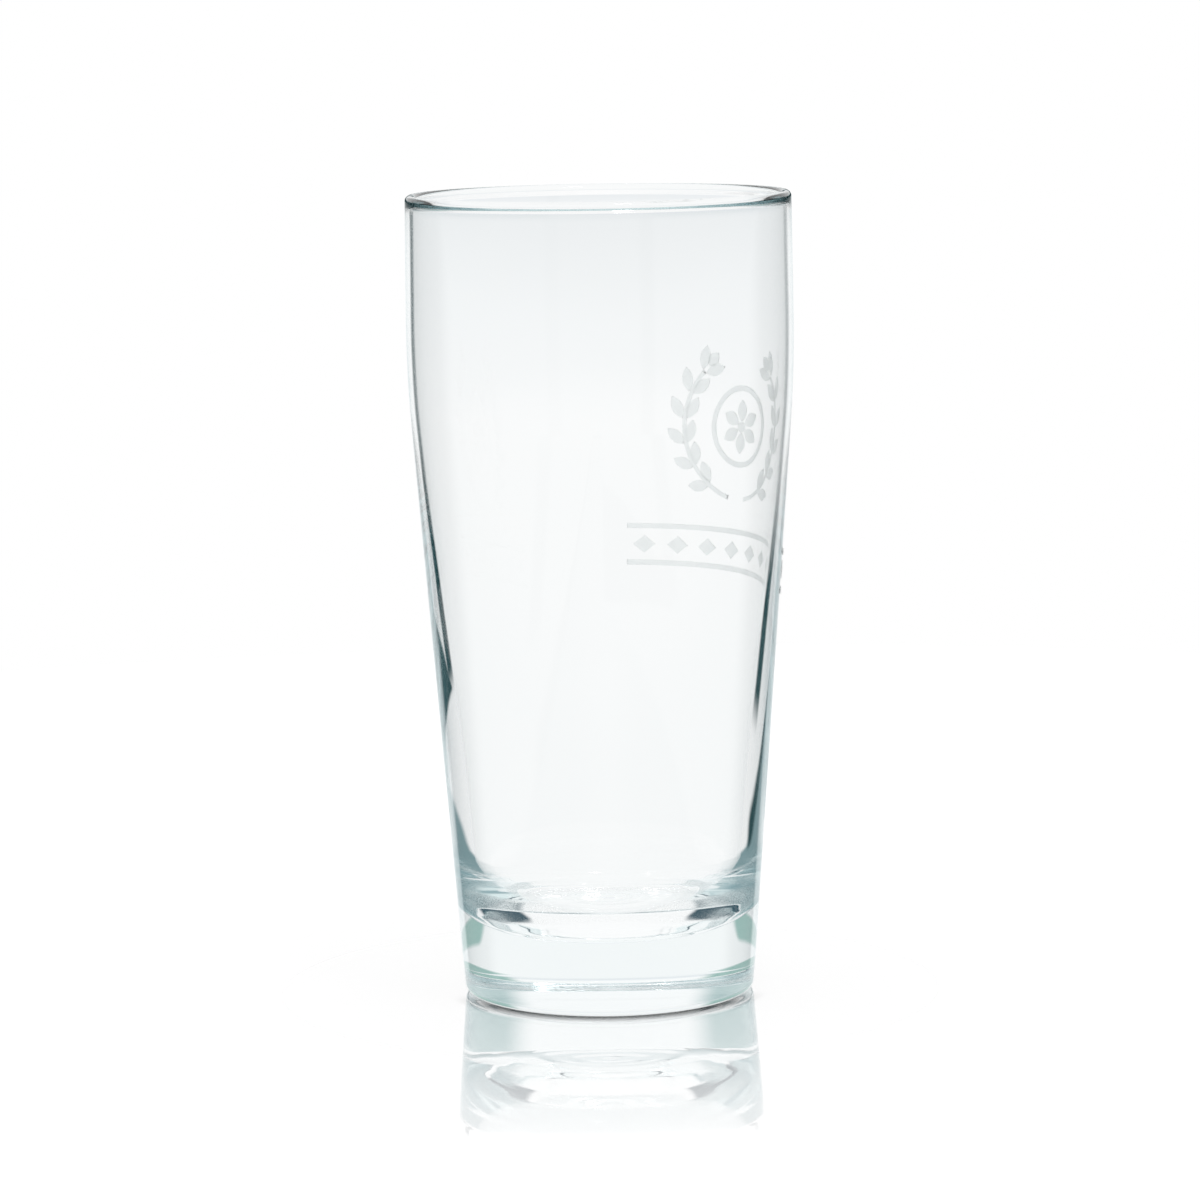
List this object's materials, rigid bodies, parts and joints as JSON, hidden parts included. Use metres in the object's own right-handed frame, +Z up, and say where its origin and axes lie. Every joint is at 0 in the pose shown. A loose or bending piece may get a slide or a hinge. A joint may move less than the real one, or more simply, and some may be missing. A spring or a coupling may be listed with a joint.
{
  "type": "beer tumbler",
  "caption": "Tapered clear-glass beer tumbler with a thick solid foot, a soft shoulder below a nearly straight rim section, a rounded lip and a pale fired enamel print.",
  "frame": {"origin": "on the table, under the middle of the foot", "axes": "+Z up along the glass's axis of rotation, -Y towards the picture's camera, +X to its right"},
  "size_m": [0.0792, 0.0792, 0.165],
  "materials": {
    "clear_glass": "clear soda-lime glass with a faint green-teal tint, fire-polished and glossy",
    "pale_enamel": "thin screen-printed pale grey-white glass enamel, fired on, satin"
  },
  "bodies": {
    "root": {"glass_body": "clear_glass", "print_ear_right": "pale_enamel", "print_ear_left": "pale_enamel", "print_roundel": "pale_enamel", "print_rosette": "pale_enamel", "print_band_upper": "pale_enamel", "print_band_lower": "pale_enamel", "print_lozenge_1": "pale_enamel", "print_lozenge_2": "pale_enamel", "print_lozenge_3": "pale_enamel", "print_lozenge_4": "pale_enamel", "print_lozenge_5": "pale_enamel", "print_lozenge_6": "pale_enamel", "print_lozenge_7": "pale_enamel"}
  },
  "joints": []
}
